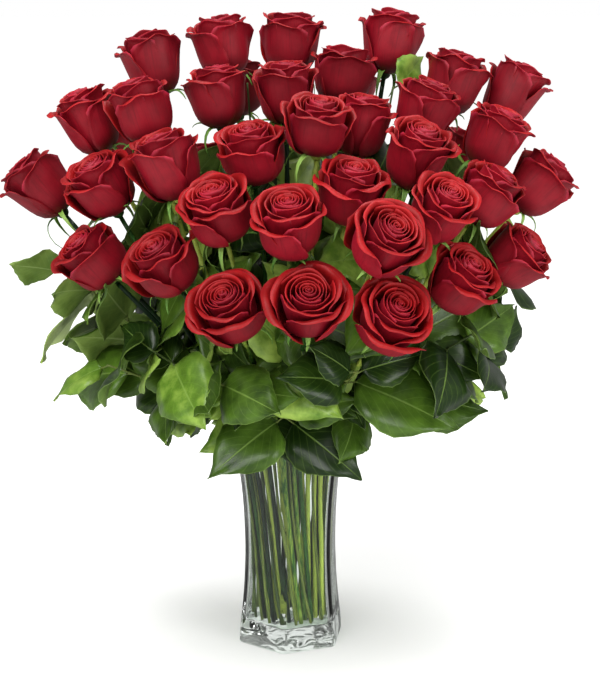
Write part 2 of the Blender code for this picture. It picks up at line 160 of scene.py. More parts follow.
def readLeaf(tip):
    rings = ringsFrom([tip], 6)
    if [len(ring) for ring in rings] != [1, 4, 4, 4, 4, 4]:
        return None
    middle = middleOf(rings[2])
    wide = max(rings[2], key=lambda vert: (vert.co - middle).length)
    other = max(rings[2], key=lambda vert: (vert.co - wide.co).length)
    line = [middleOf(rings[5])] + [ridgeOf(ring) for ring in reversed(rings[1:5])] + [tip.co.copy()]
    lift = (wide.co + other.co) / 2.0 - ridgeOf(rings[2])
    return {"line": line, "half": (wide.co - other.co).length / 2.0, "up": lift.normalized()}


def flatFan(verts, count):
    # the flat cap of so many corners that one of these vertices stands on
    for first in [face for vert in verts for face in vert.link_faces]:
        fan = [first]
        for flat in fan:
            for side in flat.edges:
                for face in side.link_faces:
                    if face not in fan and face.normal.dot(first.normal) > 0.9999:
                        fan.append(face)
        corners = dict.fromkeys(corner for face in fan for corner in face.verts)
        if len(corners) == count:
            return list(corners)
    return []


def stemLine(verts, sides, gap=0.0032):
    # a stem's rings are small clumps of vertices; their middles, taken from the foot up, are its line
    pool = list(verts)
    clumps = []
    while pool:
        clump = [pool.pop()]
        for vert in clump:
            clump += [other for other in pool if (other.co - vert.co).length < gap]
            pool = [other for other in pool if (other.co - vert.co).length >= gap]
        # four corners on a five-sided stem are only where a leaf starts
        if len(clump) >= sides:
            clumps.append(clump)
    foot = min(clumps, key=lambda clump: middleOf(clump).z)
    line = [middleOf(foot)]
    middles = [middleOf(clump) for clump in clumps if clump is not foot]
    while middles:
        nearest = min(middles, key=lambda middle: (middle - line[-1]).length)
        middles.remove(nearest)
        line.append(nearest)
    return line, spreadOf(foot)


def readStem(name, sides):
    # the stem's middle line and thickness, the leaves on it, and the rings of a bloom if it ends in one
    bm = mergedCopy(name)
    leaves = []
    taken = set()
    for vert in bm.verts:
        if len(vert.link_edges) != 4:
            continue
        found = readLeaf(vert)
        if found is not None:
            leaves.append(found)
            for ring in ringsFrom([vert], 5):
                taken.update(ring)
    head = []
    if sides == 5:
        foot = sorted(bm.verts, key=lambda vert: vert.co.z)[:sides]
        highest = [vert for ring in reversed(ringsFrom(foot, shut=taken)[-4:]) for vert in ring]
        for ring in ringsFrom(flatFan(highest, 2 * sides), 8):
            taken.update(ring)
            head.insert(0, (middleOf(ring), spreadOf(ring)))
    line, thick = stemLine([vert for vert in bm.verts if vert not in taken], sides)
    bm.free()
    return {"name": name, "line": line, "thick": thick, "head": head, "leaves": leaves}


def readRose(name):
    rose = readStem(name, 5)
    lowest, highest = rose["head"][0][0], rose["head"][-1][0]
    tall = (highest - lowest).length
    wide = max(spread for middle, spread in rose["head"])
    rose["axis"] = (highest - lowest).normalized()
    # a bud is taller for its width than an open flower: 1.96 r by 0.94 r against 1.51 r by 0.99 r
    opened = (1.96 * wide - 0.94 * tall) / (0.05 * tall + 0.45 * wide)
    rose["opened"] = max(0.0, min(1.0, opened))
    rose["radius"] = wide / (0.94 + 0.05 * rose["opened"])
    rose["middle"] = lowest + rose["axis"] * rose["radius"] * 0.995
    return rose


roses = [readRose(name) for name in sorted(nodes) if name.startswith("rose_")]
branches = [readStem(name, 4) for name in sorted(nodes) if name.startswith("leaf_branch_")]
print("read", len(roses), "roses,", len(branches), "branches and",
      sum(len(stem["leaves"]) for stem in roses + branches), "leaves")


petalLook = {
    "face": "930A0D",      # upper side, deep velvet red
    "faceShadedFoot": "2C0204",  # painted shade near the petal's foot, deep in the bloom
    "faceRimHighlight": "AC1A1F",   # painted highlight along the thin rim, a little paler
    "back": "83081A",      # reverse, crimson with a pink cast
    # painted shade near the reverse's foot, deep in the bloom
    "backShadedFoot": "3A040C",
    # painted highlight along the reverse's rim
    "backRimHighlight": "A32038",
}


# deep is painted shade at the petal's foot, also the colour of the veins
# rim is a painted highlight along the petal's edge
def petalMaterial(name, body, deep, rim, sheen):
    # fresh rose petal: thin waxy skin of tiny domed cells, so it looks like velvet with a soft bloom of light
    material, shader = newMaterial(name)
    uv = addNode(material, "ShaderNodeUVMap", uv_map="petal")
    tone = addNode(material, "ShaderNodeAttribute", attribute_name="tone")
    split = addNode(material, "ShaderNodeSeparateXYZ", {"Vector": uv.outputs["UV"]})
    along = addNode(material, "ShaderNodeValToRGB", {"Fac": split.outputs["Y"]})
    # darker towards the foot: painted shade deep in the bloom
    setRamp(along, [
        # paler at the very rim: painted highlight
        (0.0, hexColour(deep)), (0.42, hexColour(body)), (0.93, hexColour(body)), (1.0, hexColour(rim))])
    cloud = addNode(material, "ShaderNodeTexCoord")
    patches = addNode(material, "ShaderNodeTexNoise", {
        "Vector": cloud.outputs["Object"], "Scale": 55.0, "Detail": 3.0, "Roughness": 0.6})
    value = addNode(material, "ShaderNodeMapRange", {
        "Value": patches.outputs["Fac"], "From Min": 0.3, "From Max": 0.7, "To Min": 0.82, "To Max": 1.14})
    toned = addNode(material, "ShaderNodeMath", {
        0: value.outputs["Result"], 1: tone.outputs["Fac"]}, operation="MULTIPLY")
    mottled = addNode(material, "ShaderNodeHueSaturation", {
        "Color": along.outputs["Color"], "Value": toned.outputs["Value"]})
    # veins run up the petal and fan out: fine stripes across the width, one every millimetre or so
    stretched = addNode(material, "ShaderNodeMapping", {
        "Vector": uv.outputs["UV"], "Scale": (34.0, 2.2, 1.0)})
    veins = addNode(material, "ShaderNodeTexNoise", {
        "Vector": stretched.outputs["Vector"], "Scale": 1.0, "Detail": 4.0, "Roughness": 0.55})
    veinMask = addNode(material, "ShaderNodeMapRange", {
        "Value": veins.outputs["Fac"], "From Min": 0.52, "From Max": 0.75, "To Min": 0.0, "To Max": 0.45})
    veined = addNode(material, "ShaderNodeMixRGB", {
        "Fac": veinMask.outputs["Result"], "Color1": mottled.outputs["Color"], "Color2": hexColour(deep)})
    link(material, veined.outputs["Color"], shader.inputs["Base Color"])
    bump = addNode(material, "ShaderNodeBump", {
        "Strength": 0.35, "Distance": 0.0004, "Height": veins.outputs["Fac"]})
    cells = addNode(material, "ShaderNodeTexNoise", {
        "Vector": cloud.outputs["Object"], "Scale": 900.0, "Detail": 2.0})
    fine = addNode(material, "ShaderNodeBump", {
        "Strength": 0.25, "Distance": 0.0002, "Height": cells.outputs["Fac"],
        "Normal": bump.outputs["Normal"]})
    link(material, fine.outputs["Normal"], shader.inputs["Normal"])
    shader.inputs["Roughness"].default_value = 0.52
    shader.inputs["IOR"].default_value = 1.42
    shader.inputs["Specular IOR Level"].default_value = 0.35
    shader.inputs["Sheen Weight"].default_value = sheen
    shader.inputs["Sheen Roughness"].default_value = 0.45
    shader.inputs["Sheen Tint"].default_value = hexColour("E0405C")
    return material


petalFace = petalMaterial("rose petal, velvety upper side", petalLook["face"], petalLook["faceShadedFoot"],
                          petalLook["faceRimHighlight"], 0.08)
petalBack = petalMaterial("rose petal, silky reverse", petalLook["back"], petalLook["backShadedFoot"],
                          petalLook["backRimHighlight"], 0.18)

greenLook = {
    "leafTop": "182C0A",
    "leafTopLight": "587A25",
    "leafTopYoung": "98B54E",
    "leafVein": "7C9A48",
    "leafUnder": "58752F",
    "leafUnderLight": "8FA851",
    "leafUnderYoung": "B4C97C",
    "leafUnderVein": "A9C078",
    "stemDeep": ("0C2210", "33641C"),
    "stem": "AFC050",
    "sepalDeep": ("2F5A1C", "56812F"),
    "sepal": "8CB052",
    "twigDeep": ("222F14", "3F5220"),
    "twig": "6E7B34",
}


def leafMaterial(name, body, light, young, vein, roughness, veinDepth):
    # broad evergreen leaf with a waxy cuticle over a sunken net of veins: glossy, with paler ribs
    material, shader = newMaterial(name)
    uv = addNode(material, "ShaderNodeUVMap", uv_map="blade")
    tone = addNode(material, "ShaderNodeAttribute", attribute_name="tone")
    split = addNode(material, "ShaderNodeSeparateXYZ", {"Vector": uv.outputs["UV"]})
    # distance from the midrib, 0 to 1
    centred = addNode(material, "ShaderNodeMath", {0: split.outputs["X"], 1: 0.5}, operation="SUBTRACT")
    side = addNode(material, "ShaderNodeMath", {0: centred.outputs["Value"]}, operation="ABSOLUTE")
    # side veins leave the midrib at a slant, about one every 6 mm
    slant = addNode(material, "ShaderNodeMath", {0: side.outputs["Value"], 1: -0.85}, operation="MULTIPLY")
    run = addNode(material, "ShaderNodeMath", {
        0: split.outputs["Y"], 1: slant.outputs["Value"]}, operation="ADD")
    turns = addNode(material, "ShaderNodeMath", {0: run.outputs["Value"], 1: 8.0}, operation="MULTIPLY")
    saw = addNode(material, "ShaderNodeMath", {0: turns.outputs["Value"]}, operation="FRACT")
    fold = addNode(material, "ShaderNodeMath", {0: saw.outputs["Value"], 1: 0.5}, operation="SUBTRACT")
    ribs = addNode(material, "ShaderNodeMath", {0: fold.outputs["Value"]}, operation="ABSOLUTE")
    sideVein = addNode(material, "ShaderNodeMapRange", {
        "Value": ribs.outputs["Value"], "From Min": 0.0, "From Max": 0.07, "To Min": 0.18, "To Max": 0.0})
    midVein = addNode(material, "ShaderNodeMapRange", {
        "Value": side.outputs["Value"], "From Min": 0.005, "From Max": 0.020, "To Min": 0.60, "To Max": 0.0})
    veinMask = addNode(material, "ShaderNodeMath", {
        0: sideVein.outputs["Result"], 1: midVein.outputs["Result"]}, operation="MAXIMUM")
    cloud = addNode(material, "ShaderNodeTexCoord")
    patches = addNode(material, "ShaderNodeTexNoise", {
        "Vector": cloud.outputs["Object"], "Scale": 38.0, "Detail": 4.0, "Roughness": 0.6})
    shade = addNode(material, "ShaderNodeMath", {
        0: patches.outputs["Fac"], 1: tone.outputs["Fac"]}, operation="MULTIPLY")
    colour = addNode(material, "ShaderNodeValToRGB", {"Fac": shade.outputs["Value"]})
    setRamp(colour, [(0.18, hexColour(body)), (0.60, hexColour(light)), (0.98, hexColour(young))])
    veined = addNode(material, "ShaderNodeMixRGB", {
        "Fac": veinMask.outputs["Value"], "Color1": colour.outputs["Color"], "Color2": hexColour(vein)})
    edge = addNode(material, "ShaderNodeMapRange", {
        "Value": side.outputs["Value"], "From Min": 0.48, "From Max": 0.5, "To Min": 0.0, "To Max": 0.5})
    edged = addNode(material, "ShaderNodeMixRGB", {
        "Fac": edge.outputs["Result"], "Color1": veined.outputs["Color"], "Color2": hexColour(vein)})
    link(material, edged.outputs["Color"], shader.inputs["Base Color"])
    net = addNode(material, "ShaderNodeTexVoronoi", {"Vector": cloud.outputs["Object"], "Scale": 420.0},
                  feature="DISTANCE_TO_EDGE")
    netBump = addNode(material, "ShaderNodeBump", {
        "Strength": 0.25, "Distance": 0.0003, "Height": net.outputs["Distance"]})
    bump = addNode(material, "ShaderNodeBump", {
        "Strength": 0.6, "Distance": veinDepth, "Height": veinMask.outputs["Value"],
        "Normal": netBump.outputs["Normal"]}, invert=True)
    link(material, bump.outputs["Normal"], shader.inputs["Normal"])
    shader.inputs["Roughness"].default_value = roughness
    shader.inputs["IOR"].default_value = 1.45
    shader.inputs["Specular IOR Level"].default_value = 0.45
    return material


leafTop = leafMaterial(
    "evergreen leaf, waxy upper side", greenLook["leafTop"], greenLook["leafTopLight"],
    greenLook["leafTopYoung"], greenLook["leafVein"], 0.30, 0.0005)
leafUnder = leafMaterial(
    "evergreen leaf, matt underside", greenLook["leafUnder"], greenLook["leafUnderLight"],
    greenLook["leafUnderYoung"], greenLook["leafUnderVein"], 0.55, 0.0004)


def stalkMaterial(name, low, high, roughness, ribWidth):
    # soft green skin of a cut stem, faintly ribbed along its length, darker and lighter in long patches
    material, shader = newMaterial(name)
    place = addNode(material, "ShaderNodeTexCoord")
    tone = addNode(material, "ShaderNodeAttribute", attribute_name="tone")
    drawn = addNode(material, "ShaderNodeMapping", {
        "Vector": place.outputs["Object"], "Scale": (1.0 / ribWidth, 1.0 / ribWidth, 0.05 / ribWidth)})
    ribs = addNode(material, "ShaderNodeTexNoise", {
        "Vector": drawn.outputs["Vector"], "Scale": 1.0, "Detail": 3.0, "Roughness": 0.6})
    patches = addNode(material, "ShaderNodeTexNoise", {
        "Vector": place.outputs["Object"], "Scale": 28.0, "Detail": 3.0})
    mixed = addNode(material, "ShaderNodeMath", {
        0: ribs.outputs["Fac"], 1: patches.outputs["Fac"]}, operation="ADD")
    shade = addNode(material, "ShaderNodeMath", {
        0: mixed.outputs["Value"], 1: tone.outputs["Fac"]}, operation="MULTIPLY")
    colour = addNode(material, "ShaderNodeValToRGB", {"Fac": shade.outputs["Value"]})
    setRamp(colour, [(0.30, hexColour(low[0])), (0.62, hexColour(low[1])), (0.98, hexColour(high))])
    link(material, colour.outputs["Color"], shader.inputs["Base Color"])
    bump = addNode(material, "ShaderNodeBump", {
        "Strength": 0.4, "Distance": 0.0004, "Height": ribs.outputs["Fac"]})
    link(material, bump.outputs["Normal"], shader.inputs["Normal"])
    shader.inputs["Roughness"].default_value = roughness
    shader.inputs["Specular IOR Level"].default_value = 0.4
    return material


stemSkin = stalkMaterial(
    "rose stem, smooth green skin", greenLook["stemDeep"], greenLook["stem"], 0.40, 0.0014)
sepalSkin = stalkMaterial(
    "rose sepal, fresh green", greenLook["sepalDeep"], greenLook["sepal"], 0.55, 0.002)
twigSkin = stalkMaterial(
    "leafy twig, green bark", greenLook["twigDeep"], greenLook["twig"], 0.60, 0.0012)
print("plant materials made")

bloomLook = {
    "petals": 27,
    "thickness": 0.00045,
    "innerCells": (8, 7),   # across and along a petal of the heart
    "outerCells": (13, 9),
    "goldenTurn": 137.5,
}


def petalPlace(u, v, q):
    # u runs across from -1 to 1, v from the foot to the rim; gives a point about the bloom's own axis
    side = abs(u)
    reach = v * (1.0 - q["round"] * side ** 2.2)
    straight = min(reach, q["rollStart"]) / q["rollStart"]
    top = q["top"] + q["point"] * max(0.0, 1.0 - side * 1.7) ** 1.5
    out = q["wall"] * (1.0 - (1.0 - straight) ** q["fill"]) + q["flare"] * straight ** 3
    up = q["foot"] + (top - q["roll"] - q["foot"]) * straight ** q["belly"]
    if reach > q["rollStart"]:
        bend = (reach - q["rollStart"]) / (1.0 - q["rollStart"]) * q["rollTurn"] * (0.75 + 0.5 * side)
        out += q["roll"] * (1.0 - math.cos(bend))
        up += q["roll"] * math.sin(bend)
    edge = max(0.0, side - 0.55) / 0.45
    out += q["sideRoll"] * edge * edge * v * v
    out *= 1.0 + q["tuck"] * u
    out += q["wave"] * v * noise.noise(Vector((u * 1.3 + q["seed"], v * 1.9, q["seed"] * 0.37)))
    up += q["wave"] * v * v * noise.noise(Vector((u * 1.8 - q["seed"], v * 1.1, 4.0)))
    angle = q["heading"] + u * q["half"] * (0.80 + 0.20 * math.sin(math.pi * min(1.0, v * 1.1)))
    return Vector((out * math.cos(angle), out * math.sin(angle), up))


def petalSettings(order, count, radius, opened, rng):
    # a is 0 at the tight heart and 1 at the outermost petal
    a = order / (count - 1)
    late = ease(0.45, 0.95, a)
    outer = ease(0.78, 1.0, a)
    return {
        "foot": -0.99 * radius,
        "wall": radius * (0.045 + blend(0.68, 0.80, opened) * a ** 1.15 + rng.uniform(-0.02, 0.02) * a),
        "fill": blend(2.2, 4.6, late),
        "top": radius * (blend(1.20, 0.50, opened) - blend(0.20, 0.13, opened) * late
                         - blend(0.24, 0.26, opened) * outer + rng.uniform(-0.06, 0.06)),
        "flare": radius * (blend(0.14, 0.06, opened) * late + rng.uniform(0.0, 0.10) * outer - 0.02),
        "roll": radius * (0.020 + (0.065 + rng.uniform(0.0, 0.04)) * late),
        "rollStart": blend(0.90, 0.76, late),
        "rollTurn": math.radians(blend(60.0, rng.uniform(130.0, 185.0), late)),
        "sideRoll": radius * (0.015 + 0.12 * late),
        "round": blend(0.10, 0.27, late),
        "point": radius * (0.02 + 0.11 * late),
        "tuck": blend(0.17, 0.05, a),
        "belly": blend(1.0, 1.35, late),
        "half": math.radians(blend(150.0, 70.0, a ** 0.75)),
        "heading": math.radians(order * bloomLook["goldenTurn"] + rng.uniform(-16.0, 16.0)),
        "wave": radius * (0.02 + 0.085 * late),
        "seed": rng.uniform(0.0, 90.0),
    }


def addSheet(bm, cells, tone, placer):
    # a grid bent to shape, its own square kept as the UV map
    uvLayer = bm.loops.layers.uv[0]
    toneLayer = bm.verts.layers.float["tone"]
    made = bmesh.ops.create_grid(bm, x_segments=cells[0], y_segments=cells[1], size=1.0)
    places = {vert: (vert.co.x, (vert.co.y + 1.0) / 2.0) for vert in made["verts"]}
    for face in {face for vert in places for face in vert.link_faces}:
        for loop in face.loops:
            u, v = places[loop.vert]
            loop[uvLayer].uv = ((u + 1.0) / 2.0, v)
    for vert, (u, v) in places.items():
        vert.co = placer(u, v)
        vert[toneLayer] = tone


def newPlantMesh(uvName):
    # tone is how light each petal, leaf or stem is against its neighbours
    bm = bmesh.new()
    bm.loops.layers.uv.new(uvName)
    bm.verts.layers.float.new("tone")
    return bm


def buildBloom(rose, seed):
    rng = random.Random(seed)
    bm = newPlantMesh("petal")
    tilt = Vector((rng.uniform(-0.09, 0.09), rng.uniform(-0.09, 0.09), 1.0))
    turn = rose["axis"].to_track_quat("Z", "Y").to_matrix().to_4x4()
    lean = tilt.to_track_quat("Z", "Y").to_matrix().to_4x4()
    spin = Matrix.Rotation(rng.uniform(0.0, 6.28), 4, "Z")
    toWorld = Matrix.Translation(rose["middle"]) @ turn @ lean @ spin
    count = bloomLook["petals"] + rng.randint(-2, 2)
    shade = rng.uniform(0.88, 1.10)
    for order in range(count):
        q = petalSettings(order, count, rose["radius"], rose["opened"], rng)
        cells = bloomLook["outerCells"] if order > count * 0.45 else bloomLook["innerCells"]
        addSheet(bm, cells, shade * rng.uniform(0.86, 1.14), lambda u, v: toWorld @ petalPlace(u, v, q))
    name = rose["name"]
    piece = finishPiece(name + "_petals", bm, [petalBack, petalFace], (name,))
    wall = piece.modifiers.new("petal thickness", "SOLIDIFY")
    wall.thickness = bloomLook["thickness"]
    wall.offset = -1.0
    wall.material_offset = 1
    wall.material_offset_rim = 1


stemLook = {
    "sides": 10,
    "step": 0.012,
    "thorns": 4,
    "thornLength": 0.0045,
    "thornRadii": (0.0017, 0.0010, 0.0001),
    "thornsAbove": 0.29,    # none on the part that stands in the vase
    "knuckleSpacing": 0.062,
    "knuckleReach": 0.006,
    "knuckleSwell": 0.16,
    "stalkRadii": (0.0012, 0.0009, 0.0008),
    "hipRadius": 0.0062,
    "sepalLength": 0.027,
    "sepals": 5,
    "sepalWidth": 0.0075,
    "sepalThickness": 0.0006,
}


def smoothLine(points, step):
    # rounds a line of straight stretches off, keeping its points
    ways = []
    for k in range(len(points)):
        ways.append((points[min(k + 1, len(points) - 1)] - points[max(k - 1, 0)]).normalized())
    out = []
    for p1, p2, way1, way2 in zip(points, points[1:], ways, ways[1:]):
        long = (p2 - p1).length
        parts = max(1, round(long / step))
        for j in range(parts):
            t = j / parts
            out.append(p1 * (2 * t ** 3 - 3 * t ** 2 + 1) + way1 * long * (t ** 3 - 2 * t ** 2 + t)
                       + p2 * (-2 * t ** 3 + 3 * t ** 2) + way2 * long * (t ** 3 - t ** 2))
    out.append(points[-1].copy())
    return out


def drawOut(bm, ring, edges):
    # extrudes a ring of edges and gives the new ring in the same order
    before = {vert: i for i, vert in enumerate(ring)}
    made = bmesh.ops.extrude_edge_only(bm, edges=edges)["geom"]
    fresh = {item for item in made if isinstance(item, bmesh.types.BMVert)}
    after = {}
    for vert in fresh:
        for other in neighbours(vert):
            if other in before:
                after[before[other]] = vert
    onward = [item for item in made if isinstance(item, bmesh.types.BMEdge) and fresh.issuperset(item.verts)]
    return [after[i] for i in range(len(ring))], onward


def addTube(bm, line, radii, sides, tone):
    # one circle, extruded from point to point along the line and closed at both ends
    toneLayer = bm.verts.layers.float["tone"]
    ring = bmesh.ops.create_circle(bm, segments=sides, radius=1.0, cap_ends=True)["verts"]
    flat = [vert.co.copy() for vert in ring]
    edges = list(dict.fromkeys(edge for vert in ring for edge in vert.link_edges))
    side = (line[1] - line[0]).orthogonal().normalized()
    for k, point in enumerate(line):
        ahead = (line[min(k + 1, len(line) - 1)] - line[max(k - 1, 0)]).normalized()
        side = (side - ahead * side.dot(ahead)).normalized()
        up = ahead.cross(side)
        if k > 0:
            ring, edges = drawOut(bm, ring, edges)
        for vert, co in zip(ring, flat):
            vert.co = point + (side * co.x + up * co.y) * radii[k]
            vert[toneLayer] = tone
    bmesh.ops.contextual_create(bm, geom=edges)


def tapered(line, foot, tip):
    return [blend(foot, tip, k / (len(line) - 1)) for k in range(len(line))]


def addStalks(bm, leaves, tone):
    # each leaf's own short stalk, from the stem to the foot of its blade
    for leaf in leaves:
        root, base = leaf["line"][0], leaf["line"][1]
        way = base - root
        line = [root - way * 0.1, root + way * 0.5, base + way * 0.25]
        addTube(bm, line, stemLook["stalkRadii"], 6, tone)


def buildRoseStem(rose, seed):
    rng = random.Random(seed)
    bm = newPlantMesh("stem")
    tone = rng.choice((0.32, 0.50, 0.70, 0.95, 1.20))
    r = rose["radius"]
    foot = rose["middle"] - rose["axis"] * r * 1.13
    line = smoothLine(rose["line"] + [foot], stemLook["step"])
    radii = tapered(line, rose["thick"] * 0.97, rose["thick"] * 0.92)
    walked = 0.0
    for k in range(1, len(line)):
        walked += (line[k] - line[k - 1]).length
        spacing = stemLook["knuckleSpacing"]
        away = abs((walked + seed * 0.013) % spacing - spacing / 2.0)
        radii[k] *= 1.0 + stemLook["knuckleSwell"] * max(0.0, 1.0 - away / stemLook["knuckleReach"])
    # a few short thorns, curved back down the stem, on the part above the vase
    above = [k for k, point in enumerate(line[:-2]) if point.z > stemLook["thornsAbove"]]
    for n in range(stemLook["thorns"] if len(above) > 4 else 0):
        k = rng.choice(above)
        ahead = (line[k + 1] - line[k]).normalized()
        out = Matrix.Rotation(rng.uniform(0.0, 6.28), 3, ahead) @ ahead.orthogonal().normalized()
        long = stemLook["thornLength"] * rng.uniform(0.7, 1.1)
        spine = [
            line[k] + out * radii[k] * 0.5,
            line[k] + out * (radii[k] + long * 0.4) - ahead * long * 0.05,
            line[k] + out * (radii[k] + long * 0.95) - ahead * long * 0.45,
        ]
        addTube(bm, spine, stemLook["thornRadii"], 5, tone)
    # the hip swells under the petals and holds them
    for along, wide in (
        (-1.10, 0.55), (-1.06, 0.86), (-1.01, 1.0), (-0.94, 1.12), (-0.88, 1.30), (-0.82, 1.0),
    ):
        line.append(rose["middle"] + rose["axis"] * r * along)
        radii.append(stemLook["hipRadius"] * wide)
    addTube(bm, line, radii, stemLook["sides"], tone)
    addStalks(bm, rose["leaves"], tone)
    finishPiece(rose["name"] + "_stem", bm, [stemSkin])


def sepalPlace(u, v, q):
    # first out along the bloom's underside, then curling away and down
    bend = (0.9 - 2.6 * q["droop"] * v) * (0.3 + 0.7 * v)
    out = stemLook["hipRadius"] * 0.9 + q["long"] * v * math.cos(bend * 0.8)
    up = q["foot"] + q["long"] * v * math.sin(bend)
    half = 0.5 * q["wide"] * (1.0 - v) ** 0.6 * (0.55 + 1.1 * math.sqrt(max(0.0, v)) * (1.0 - v)) + 0.0002
    cup = abs(u) * half * 0.5
    turn = Matrix.Rotation(q["heading"] + q["twist"] * v, 3, "Z")
    return turn @ Vector((out - cup * 0.3, u * half, up + cup))


def buildSepals(rose, seed):
    rng = random.Random(seed)
    bm = newPlantMesh("blade")
    turn = rose["axis"].to_track_quat("Z", "Y").to_matrix().to_4x4()
    toWorld = Matrix.Translation(rose["middle"]) @ turn
    for n in range(stemLook["sepals"]):
        q = {
            "heading": math.radians(360.0 / stemLook["sepals"] * n + rng.uniform(-10.0, 10.0)),
            "foot": -0.95 * rose["radius"],
            "droop": rng.uniform(0.2, 1.0),
            "long": stemLook["sepalLength"] * rng.uniform(0.8, 1.2),
            "wide": stemLook["sepalWidth"] * rng.uniform(0.85, 1.1),
            "twist": rng.uniform(-0.2, 0.2),
        }
        addSheet(bm, (4, 8), rng.uniform(0.6, 1.0), lambda u, v: toWorld @ sepalPlace(u, v, q))
    piece = finishPiece(rose["name"] + "_sepals", bm, [sepalSkin])
    wall = piece.modifiers.new("sepal thickness", "SOLIDIFY")
    wall.thickness = stemLook["sepalThickness"]
    wall.offset = 0.0


leafLook = {
    "cells": (6, 14),
    "longer": 1.18,    # the blades bulge past the flat-sided CAD ones
    "wider": 1.30,
    "roseSize": 1.20,  # the roses' own leaves against the branches'
    "outerSize": 1.16,
    "outerReach": 0.19,
    "thickness": 0.00045,
    "tooth": 0.0007,
    "fold": 0.42,      # how far the two halves stand up from the midrib
}


def leafPlace(u, v, q):
    spine, lengths = q["spine"], q["lengths"]
    want = v * lengths[-1]
    k = max(i for i in range(len(spine) - 1) if lengths[i] <= want + 1e-9)
    middle = spine[k].lerp(spine[k + 1], (want - lengths[k]) / (lengths[k + 1] - lengths[k]))
    ahead = (spine[k + 1] - spine[k]).normalized()
    normal = (q["up"] - ahead * q["up"].dot(ahead)).normalized()
    normal = Matrix.Rotation(q["twist"] * (v - 0.4), 3, ahead) @ normal
    across = ahead.cross(normal)
    # egg-shaped outline: full below the middle, drawn out to a point
    wide = 0.0
    if 0.0 < v < 1.0:
        wide = q["half"] * math.sin(math.pi * v ** 0.66) ** (0.75 + 0.5 * v) * 1.06
    side = abs(u)
    reach = wide * side
    if side > 0.99 and 0.06 < v < 0.96:
        reach += leafLook["tooth"] * (1.0 if round(v * leafLook["cells"][1]) % 2 else -0.5)
    lift = reach * leafLook["fold"] * (1.0 - 0.5 * side) - q["sag"] * reach * side
    lift += 0.12 * q["half"] * math.sin(v * 11.0 + q["ripple"] + (2.0 if u > 0 else 0.0)) * side * side
    lift -= q["curl"] * q["half"] * v * v
    return middle + across * (reach if u > 0 else -reach) + normal * lift


def sideLeaflets(leaf, rng):
    # a rose leaf has a pair of smaller leaflets on its stalk, behind the one at the end
    line = leaf["line"]
    along = (line[-1] - line[1]).normalized()
    across = along.cross(leaf["up"]).normalized()
    out = [leaf]
    for hand in (-1.0, 1.0):
        turn = Matrix.Rotation(hand * math.radians(rng.uniform(52.0, 74.0)), 3, leaf["up"])
        tilt = Matrix.Rotation(rng.uniform(-0.3, 0.3), 3, along)
        size = rng.uniform(0.72, 0.86)
        foot = line[1] - along * 0.004 - across * hand * 0.001
        moved = [line[0]] + [foot + tilt @ turn @ (point - line[1]) * size for point in line[1:]]
        out.append({"line": moved, "half": leaf["half"] * size * 0.92, "up": tilt @ leaf["up"]})
    return out


def buildLeaves(stem, leaves, rng, size=1.0):
    bm = newPlantMesh("blade")
    for leaf in leaves:
        base = leaf["line"][1]
        tip = leaf["line"][-1]
        # leaves that hang free at the outside of the bunch have grown larger than the crowded ones
        grown = size * (leafLook["outerSize"] if math.hypot(tip.x, tip.y) > leafLook["outerReach"] else 1.0)
        blade = [base + (point - base) * leafLook["longer"] * grown for point in leaf["line"][1:]]
        spine = smoothLine(blade, 0.006)
        lengths = [0.0]
        for p1, p2 in zip(spine, spine[1:]):
            lengths.append(lengths[-1] + (p2 - p1).length)
        q = {
            "spine": spine,
            "lengths": lengths,
            "up": leaf["up"],
            "half": leaf["half"] * leafLook["wider"] * grown,
            "sag": rng.uniform(0.10, 0.34),
            "curl": rng.uniform(-0.10, 0.22),
            "ripple": rng.uniform(0.0, 90.0),
            "twist": rng.uniform(-0.35, 0.35),
        }
        tone = rng.uniform(0.30, 0.95) if rng.random() < 0.72 else rng.uniform(1.1, 2.1)
        addSheet(bm, leafLook["cells"], tone, lambda u, v: leafPlace(u, v, q))
    bmesh.ops.remove_doubles(bm, verts=bm.verts, dist=0.00001)
    piece = finishPiece(stem["name"] + "_leaves", bm, [leafTop, leafUnder])
    wall = piece.modifiers.new("leaf thickness", "SOLIDIFY")
    wall.thickness = leafLook["thickness"]
    wall.offset = -1.0
    wall.material_offset = 1


def buildBranch(branch, seed):
    rng = random.Random(seed)
    bm = newPlantMesh("stem")
    tone = rng.uniform(0.5, 1.0)
    line = smoothLine(branch["line"], 0.010)
    addTube(bm, line, tapered(line, branch["thick"], branch["thick"] * 0.62), 8, tone)
    addStalks(bm, branch["leaves"], tone)
    finishPiece(branch["name"] + "_twig", bm, [twigSkin], (branch["name"],))
    buildLeaves(branch, branch["leaves"], rng)


for number, rose in enumerate(roses):
    buildBloom(rose, 100 + number)
    buildRoseStem(rose, 300 + number)
    buildSepals(rose, 500 + number)
    if rose["leaves"]:
        rng = random.Random(600 + number)
        leaflets = [leaflet for leaf in rose["leaves"] for leaflet in sideLeaflets(leaf, rng)]
        buildLeaves(rose, leaflets, rng, leafLook["roseSize"])
print("roses made")

for number, branch in enumerate(branches):
    buildBranch(branch, 700 + number)
print("branches made")

glassLook = {
    "cornerRounding": 0.0034,
    "rimRounding": 0.0015,
}


